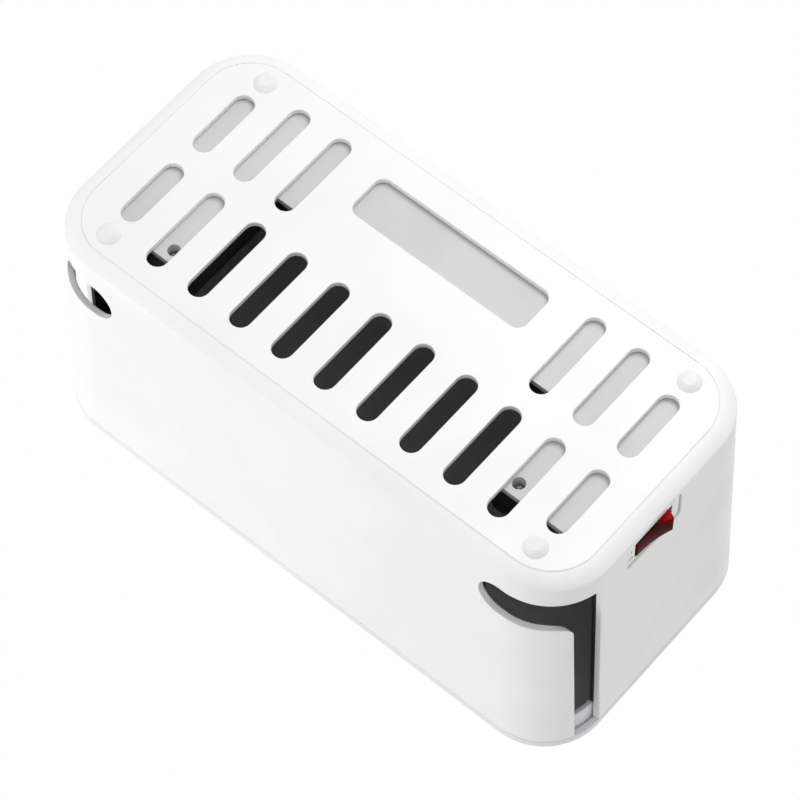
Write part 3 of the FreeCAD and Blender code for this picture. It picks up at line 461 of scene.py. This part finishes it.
for name, node in nodes.items():
    node.data.materials.clear()
    node.data.materials.append(finishes[nodeFinishes[kindOf(name)]])
print("nodes dressed")


# moulded edges: a small round along every sharp edge, in millimetres for each node
softEdges = {
    "outer_shell": 0.35, "lid": 0.35, "inner_liner": 0.25, "strip_cover": 0.25, "strip_housing": 0.30,
    "switch_frame": 0.15, "switch_rocker": 0.15, "cord_gland": 0.20, "usb_transformer": 0.30,
    "usb_board": 0.10, "switch_terminals": 0.08, "live_bar": 0.08, "neutral_bar": 0.08, "earth_bar": 0.08,
    "socket_insert": 0.20, "usb_port": 0.12,
}
edgeWork = {"weld": 0.004, "sharpDegrees": 35.0, "creaseDegrees": 32.0, "segments": 2}


def makeSmoothing():
    tree = bpy.data.node_groups.new("shadeSmooth", "GeometryNodeTree")
    tree.interface.new_socket("Geometry", in_out="INPUT", socket_type="NodeSocketGeometry")
    tree.interface.new_socket("Geometry", in_out="OUTPUT", socket_type="NodeSocketGeometry")
    smooth = addNode(tree, "GeometryNodeSetShadeSmooth")
    tree.links.new(tree.nodes.new("NodeGroupInput").outputs[0], smooth.inputs[0])
    tree.links.new(smooth.outputs[0], tree.nodes.new("NodeGroupOutput").inputs[0])
    return tree


def roundEdges(node, width, look, smoothing):
    node.modifiers.new("weld", "WELD").merge_threshold = look["weld"] * mm
    node.modifiers.new("smooth", "NODES").node_group = smoothing
    bevel = node.modifiers.new("softEdge", "BEVEL")
    bevel.width = width * mm
    bevel.segments = look["segments"]
    bevel.limit_method = "ANGLE"
    bevel.angle_limit = math.radians(look["sharpDegrees"])
    bevel.use_clamp_overlap = False
    bevel.loop_slide = False
    node.modifiers.new("evenNormals", "WEIGHTED_NORMAL")


smoothing = makeSmoothing()
for name, node in nodes.items():
    if kindOf(name) in softEdges:
        roundEdges(node, softEdges[kindOf(name)], edgeWork, smoothing)
print("edges rounded")


# pieces made here: each rides on a body and takes one finish

def addPiece(name, work, finish, body="box"):
    bmesh.ops.recalc_face_normals(work, faces=work.faces)
    mesh = bpy.data.meshes.new(name)
    work.to_mesh(mesh)
    work.free()
    mesh.polygons.foreach_set("use_smooth", [True] * len(mesh.polygons))
    mesh.set_sharp_from_angle(angle=math.radians(edgeWork["creaseDegrees"]))
    mesh.materials.append(finishes[finish])
    piece = bpy.data.objects.new(name, mesh)
    scene.collection.objects.link(piece)
    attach(piece, body)
    return piece


def solidBoxes(name):
    # the separate solids of one node, each as its lowest and highest corner
    work = bmesh.new()
    work.from_mesh(nodes[name].data)
    bmesh.ops.remove_doubles(work, verts=work.verts, dist=edgeWork["weld"] * mm)
    waiting = set(work.verts)
    boxes = []
    while waiting:
        group = [waiting.pop()]
        for vert in group:
            for edge in vert.link_edges:
                other = edge.other_vert(vert)
                if other in waiting:
                    waiting.remove(other)
                    group.append(other)
        boxes.append([Vector([pick(vert.co[axis] for vert in group) for axis in range(3)])
                      for pick in (min, max)])
    work.free()
    return sorted(boxes, key=lambda pair: tuple(round(value, 5) for value in pair[0]))


def skinLoops(work, loops, closed=True):
    # faces between rings of points that follow each other
    for first, second in zip(loops, loops[1:]):
        count = len(first) if closed else len(first) - 1
        for index in range(count):
            after = (index + 1) % len(first)
            work.faces.new((first[index], first[after], second[after], second[index]))


def closeEnds(work, loops):
    work.faces.new(loops[0])
    work.faces.new(loops[-1])


def ringOf(work, radius, z, sides):
    angles = [2 * math.pi * k / sides for k in range(sides)]
    return [work.verts.new((radius * math.cos(angle), radius * math.sin(angle), z)) for angle in angles]


# pan head screws: domed head with a cross recess, and a thread that runs out at the tip; sizes in millimetres
screws = {
    "cover_screws": {"headLow": True, "diameter": 2.5, "headDiameter": 4.6, "headHeight": 1.8, "pitch": 0.95,
                     "threadDepth": 0.30},
    "mounting_screws": {"headLow": False, "diameter": 3.0, "headDiameter": 5.8, "headHeight": 2.0,
                        "pitch": 1.15, "threadDepth": 0.36},
}
# the profile gives shares of the head's radius and height; the cross gives shares of its width and height
screwShape = {"headSides": 40, "threadSides": 20, "rowsPerTurn": 8, "crossReach": 0.29, "crossHalf": 0.075,
              "crossLayers": ((1.2, 1.15), (0.38, 0.55)), "turnStep": 0.9, "runOutTurns": 1.4,
              "ridgeSlope": 3.2, "tipShare": 0.55, "sink": 0.05,
              "profile": [(0.95, 0.0), (1.0, 0.12), (1.0, 0.34), (0.95, 0.56), (0.82, 0.78), (0.60, 0.92),
                          (0.32, 0.985)]}


def closeRing(work, ring, z):
    # a fan of faces round a point on the axis
    centre = work.verts.new((0, 0, z))
    for index in range(len(ring)):
        work.faces.new((ring[index], ring[(index + 1) % len(ring)], centre))


def makeHead(look, shape):
    work = bmesh.new()
    radius, height, sides = look["headDiameter"] / 2 * mm, look["headHeight"] * mm, shape["headSides"]
    rings = [ringOf(work, radius * share, height * rise, sides) for share, rise in shape["profile"]]
    skinLoops(work, rings)
    for ring, z in ((rings[0], 0.0), (rings[-1], height)):
        closeRing(work, ring, z)
    bmesh.ops.recalc_face_normals(work, faces=work.faces)
    return work


def makeCross(look, shape):
    # plus-shaped tool that tapers towards the bottom of the recess
    work = bmesh.new()
    layers = []
    for rise, share in shape["crossLayers"]:
        z = look["headHeight"] * mm * rise
        reach = shape["crossReach"] * look["headDiameter"] * mm * share
        half = shape["crossHalf"] * look["headDiameter"] * mm * share
        corners = [(reach, -half), (reach, half), (half, half), (half, reach), (-half, reach), (-half, half),
                   (-reach, half), (-reach, -half), (-half, -half), (-half, -reach), (half, -reach),
                   (half, -half)]
        layers.append([work.verts.new((x, y, z)) for x, y in corners])
    skinLoops(work, layers)
    closeEnds(work, layers)
    bmesh.ops.recalc_face_normals(work, faces=work.faces)
    return work


def cutAway(work, tool):
    # a boolean between two loose objects, which go away again afterwards
    holders = []
    for label, source in (("cutBody", work), ("cutTool", tool)):
        mesh = bpy.data.meshes.new(label)
        source.to_mesh(mesh)
        source.free()
        holder = bpy.data.objects.new(label, mesh)
        scene.collection.objects.link(holder)
        holders.append(holder)
    cut = holders[0].modifiers.new("cut", "BOOLEAN")
    cut.operation = "DIFFERENCE"
    cut.solver = "EXACT"
    cut.object = holders[1]
    result = bmesh.new()
    result.from_mesh(holders[0].evaluated_get(bpy.context.evaluated_depsgraph_get()).to_mesh())
    for holder in holders:
        mesh = holder.data
        bpy.data.objects.remove(holder)
        bpy.data.meshes.remove(mesh)
    return result


def addThread(work, look, shape, length):
    # one skin whose radius rises along a helix
    sides, pitch = shape["threadSides"], look["pitch"] * mm
    outside, depth = look["diameter"] / 2 * mm, look["threadDepth"] * mm
    rows = int(length / pitch * shape["rowsPerTurn"])
    rings = []
    for row in range(rows + 1):
        down = length * row / rows
        runOut = min(1.0, (length - down) / (shape["runOutTurns"] * pitch))
        taper = shape["tipShare"] + (1 - shape["tipShare"]) * runOut
        z = shape["sink"] * mm - down
        ring = []
        for k in range(sides):
            angle = 2 * math.pi * k / sides
            phase = (down / pitch + k / sides) % 1.0
            ridge = max(0.0, 1.0 - abs(phase - 0.5) * shape["ridgeSlope"])
            radius = (outside - depth + depth * ridge) * taper
            ring.append(work.verts.new((radius * math.cos(angle), radius * math.sin(angle), z)))
        rings.append(ring)
    skinLoops(work, rings)
    closeRing(work, rings[-1], -length)


def makeScrews(name, look, shape):
    # one screw is made, and a turned copy of it stands where each solid of the CAD node does
    screw = cutAway(makeHead(look, shape), makeCross(look, shape))
    boxes, headHeight = solidBoxes(name), look["headHeight"] * mm
    low, high = boxes[0]
    addThread(screw, look, shape, high.z - low.z - headHeight)
    pattern = bpy.data.meshes.new("pattern")
    screw.to_mesh(pattern)
    screw.free()
    work = bmesh.new()
    for index, (low, high) in enumerate(boxes):
        seat = low.z + headHeight if look["headLow"] else high.z - headHeight
        turn = Matrix.Rotation(math.pi if look["headLow"] else 0.0, 4, "X")
        turn = turn @ Matrix.Rotation(shape["turnStep"] * index, 4, "Z")
        start = len(work.verts)
        work.from_mesh(pattern)
        work.verts.ensure_lookup_table()
        move = Matrix.Translation(((low.x + high.x) / 2, (low.y + high.y) / 2, seat)) @ turn
        bmesh.ops.transform(work, matrix=move, verts=work.verts[start:])
    bpy.data.meshes.remove(pattern)
    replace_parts(addPiece(name + "_threaded", work, "screwSteel"), name)


for name, look in screws.items():
    makeScrews(name, look, screwShape)
print("screws made")


# USB ports: a sleeve of dark plastic over each tongue and four sprung contacts on it; sizes in millimetres
usbLook = {"shellWall": 0.6, "tongueThickness": 1.9, "tongueMargin": 1.2, "tongueSetback": 1.6, "root": 2.0,
           "skin": 0.06, "softEdge": 0.25, "padPlaces": (-3.5, -1.0, 1.0, 3.5), "padWidth": 1.0,
           "padLengths": (8.2, 7.2, 7.2, 8.2), "padStart": 0.9, "padRise": 0.16, "padBulge": 0.6,
           "padSteps": 10}


def bevelledBlock(work, low, high, width):
    made = bmesh.ops.create_cube(work, size=1.0)["verts"]
    move = Matrix.Translation((low + high) / 2) @ Matrix.Diagonal((*(high - low), 1.0))
    bmesh.ops.transform(work, matrix=move, verts=made)
    edges = list(dict.fromkeys(edge for vert in made for edge in vert.link_edges))
    bmesh.ops.bevel(work, geom=edges, offset=width, segments=2, affect="EDGES", profile=0.5)


def makeContact(work, look, middle, face, top, length):
    # thin strip that bulges towards the plug between its two ends
    rows = []
    for step in range(look["padSteps"] + 1):
        share = step / look["padSteps"]
        lift = look["padRise"] * mm * math.sin(math.pi * share) ** look["padBulge"]
        z = top - (look["padStart"] + length * share) * mm
        rows.append([work.verts.new((middle + across * look["padWidth"] * mm, face - height, z))
                     for across, height in ((-0.5, 0.0), (-0.4, lift), (0.4, lift), (0.5, 0.0))])
    skinLoops(work, rows, closed=False)


def makeUsbInsides(look):
    tongues, pads = bmesh.new(), bmesh.new()
    wall, skin = look["shellWall"] * mm, look["skin"] * mm
    for name in sorted(label for label in nodes if kindOf(label) == "usb_port"):
        low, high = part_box(name)
        face = high.y - wall - look["tongueThickness"] * mm - skin
        side, top = look["tongueMargin"] * mm - skin, high.z - look["tongueSetback"] * mm
        lowCorner = Vector((low.x + side, face, low.z + look["root"] * mm))
        highCorner = Vector((high.x - side, high.y - wall - 4 * skin, top + skin))
        bevelledBlock(tongues, lowCorner, highCorner, look["softEdge"] * mm)
        for place, length in zip(look["padPlaces"], look["padLengths"]):
            makeContact(pads, look, (low.x + high.x) / 2 + place * mm, face, top, length)
    addPiece("usb_tongues", tongues, "socketBlack")
    addPiece("usb_contacts", pads, "contactGold")


makeUsbInsides(usbLook)
print("USB contacts made")


# rocker: the CAD one's outline with a shallower dish and softer edges, tilted to the same stop; the outline
# is in millimetres from the pivot, and the pins' rings are shares of their radius and of the half height
rockerShape = {"pivot": (124.51, 6.5, 16.0), "height": 9.6, "tiltDegrees": 10.9, "dish": 0.9, "dishSteps": 14,
               "side": [(7.46, -8.87), (2.0, -10.2), (-1.5, -6.0), (-1.5, 6.0), (2.0, 10.2), (7.46, 8.87)],
               "softEdge": 0.3, "softSegments": 3, "sharpDegrees": 25, "pinRadius": 1.2, "pinSides": 24,
               "pinRings": ((0.85, -1.0), (1.0, -0.985), (1.0, 0.985), (0.85, 1.0))}


def makeRocker(shape):
    work = bmesh.new()
    rise, half = shape["side"][-1]
    dish = []
    for step in range(1, shape["dishSteps"]):
        across = half * (1 - 2 * step / shape["dishSteps"])
        dish.append((rise - shape["dish"] * (1 - (across / half) ** 2), across))
    outline = shape["side"] + dish
    layers = [[work.verts.new((x * mm, y * mm, z * shape["height"] / 2 * mm)) for x, y in outline]
              for z in (-1, 1)]
    skinLoops(work, layers)
    closeEnds(work, layers)
    bmesh.ops.recalc_face_normals(work, faces=work.faces)
    sharp = [edge for edge in work.edges if edge.calc_face_angle(0.0) > math.radians(shape["sharpDegrees"])]
    bmesh.ops.bevel(work, geom=sharp, offset=shape["softEdge"] * mm, segments=shape["softSegments"],
                    affect="EDGES", profile=0.5)
    low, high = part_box("switch_rocker")
    radius, reach = shape["pinRadius"] * mm, (high.z - low.z) / 2
    rings = [ringOf(work, radius * share, z * reach, shape["pinSides"]) for share, z in shape["pinRings"]]
    skinLoops(work, rings)
    closeEnds(work, rings)
    turn = Matrix.Rotation(math.radians(shape["tiltDegrees"]), 4, "Z")
    move = Matrix.Translation(Vector(shape["pivot"]) * mm) @ turn
    bmesh.ops.transform(work, matrix=move, verts=work.verts)
    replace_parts(addPiece("rocker_clear", work, "rockerRed", "rocker"), "switch_rocker")


makeRocker(rockerShape)
print("rocker made")


# the two printed marks on the switch bezel, a ring and a bar; sizes in millimetres from the bezel's middle
markLook = {"along": 13.2, "apart": 2.3, "ringOutside": 1.15, "ringInside": 0.82, "ringSides": 32,
            "barHalfWidth": 0.18, "barHalfHeight": 1.15, "barEdge": 0.02, "sink": 0.01, "rise": 0.06}


def makeMarks(look):
    low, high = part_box("switch_frame")
    middle = (low + high) / 2
    bottom, top = high.x - look["sink"] * mm, high.x + look["rise"] * mm
    y = middle.y + look["along"] * mm
    ringZ, barZ = (middle.z + level * look["apart"] * mm for level in (1, -1))
    work = bmesh.new()
    outside, inside = look["ringOutside"] * mm, look["ringInside"] * mm
    angles = [2 * math.pi * k / look["ringSides"] for k in range(look["ringSides"])]
    loops = [[work.verts.new((x, y + radius * math.cos(angle), ringZ + radius * math.sin(angle)))
              for angle in angles]
             for x, radius in ((bottom, inside), (top, inside), (top, outside), (bottom, outside))]
    skinLoops(work, loops)
    half = Vector((0, look["barHalfWidth"], look["barHalfHeight"])) * mm
    lowCorner, highCorner = Vector((bottom, y, barZ)) - half, Vector((top, y, barZ)) + half
    bevelledBlock(work, lowCorner, highCorner, look["barEdge"] * mm)
    addPiece("bezel_marks", work, "markGrey")


makeMarks(markLook)
print("bezel marks made")


# world and lamps: disks in metres, each placed along its direction from the middle of the box
light = {
    "ambient": 0.70,
    "lamps": {
        "underLamp": {"watts": 3.3, "size": 0.5, "from": (0.0, -0.50, -1.0), "distance": 0.9},
        "sideLamp": {"watts": 1.9, "size": 0.5, "from": (-0.5, 1.0, 0.0), "distance": 0.7},
        "topLamp": {"watts": 2.0, "size": 0.7, "from": (-0.4, -0.5, 0.77), "distance": 0.9},
    },
    "sparing": ("underLamp", "sideLamp"),  # these leave the floor out, so it gets no hard bright patch
}


def makeWorld(look):
    world = bpy.data.worlds.new("studio")
    scene.world = world
    world.use_nodes = True
    tree = world.node_tree
    tree.nodes.clear()
    path = tree.nodes.new("ShaderNodeLightPath").outputs
    seen = useMath(tree, "ADD", path["Is Camera Ray"], path["Is Glossy Ray"], clamp=True)
    seen = useMath(tree, "ADD", seen, path["Is Transmission Ray"], clamp=True)
    white = (1.0, 1.0, 1.0, 1.0)
    ambient, shown = (addNode(tree, "ShaderNodeBackground", {"Color": white, "Strength": strength})
                      for strength in (look["ambient"], 1.0))
    mixed = addNode(tree, "ShaderNodeMixShader", {0: seen, 1: ambient.outputs[0], 2: shown.outputs[0]})
    addNode(tree, "ShaderNodeOutputWorld", {"Surface": mixed.outputs[0]})


def makeLamp(name, look):
    data = bpy.data.lights.new(name, "AREA")
    data.shape = "DISK"
    data.size = look["size"]
    data.energy = look["watts"]
    lamp = bpy.data.objects.new(name, data)
    scene.collection.objects.link(lamp)
    middle = (cadBox[0] + cadBox[1]) / 2
    away = Vector(look["from"]).normalized()
    lamp.location = middle + away * look["distance"]
    lamp.rotation_mode = "QUATERNION"
    lamp.rotation_quaternion = (-away).to_track_quat("-Z", "Y")
    lamp.visible_camera = False


# pale floor, seen only from above; light and every other ray pass it; size and drop in metres
floorLook = {"size": 6.0, "drop": 0.0002, "colour": (0.93, 0.93, 0.93), "shade": (0.90, 0.90, 0.905),
             "cloud": 0.004, "rough": 0.7, "specular": 0.1}


def makeFloor(look):
    mesh = bpy.data.meshes.new("floor")
    half, z = look["size"] / 2, -look["drop"]
    corners = [(-half, -half, z), (half, -half, z), (half, half, z), (-half, half, z)]
    mesh.from_pydata(corners, [], [(0, 1, 2, 3)])
    floor = bpy.data.objects.new("floor", mesh)
    scene.collection.objects.link(floor)
    material, tree, shader = newMaterial("floorPale")
    cloud = noiseAt(tree, millimetres(tree), look["cloud"], 3.0)
    linkAll(tree, shader, Base_Color=mixColour(tree, cloud, look["shade"], look["colour"]))
    setShader(shader, Roughness=look["rough"], Specular_IOR_Level=look["specular"])
    path = tree.nodes.new("ShaderNodeLightPath").outputs
    behind = tree.nodes.new("ShaderNodeNewGeometry").outputs["Backfacing"]
    shown = useMath(tree, "MULTIPLY", path["Is Camera Ray"], useMath(tree, "SUBTRACT", 1.0, behind))
    clear = tree.nodes.new("ShaderNodeBsdfTransparent")
    mixed = addNode(tree, "ShaderNodeMixShader", {0: shown, 1: clear.outputs[0], 2: shader.outputs[0]})
    tree.links.new(mixed.outputs[0], tree.nodes["Material Output"].inputs["Surface"])
    mesh.materials.append(material)
    return floor


def spareFloor(floor, names):
    spared = bpy.data.collections.new("floorSpared")
    spared.objects.link(floor)
    spared.collection_objects[0].light_linking.link_state = "EXCLUDE"
    for name in names:
        bpy.data.objects[name].light_linking.receiver_collection = spared


makeWorld(light)
for name, look in light["lamps"].items():
    makeLamp(name, look)
spareFloor(makeFloor(floorLook), light["sparing"])
print("world, lamps and floor made")
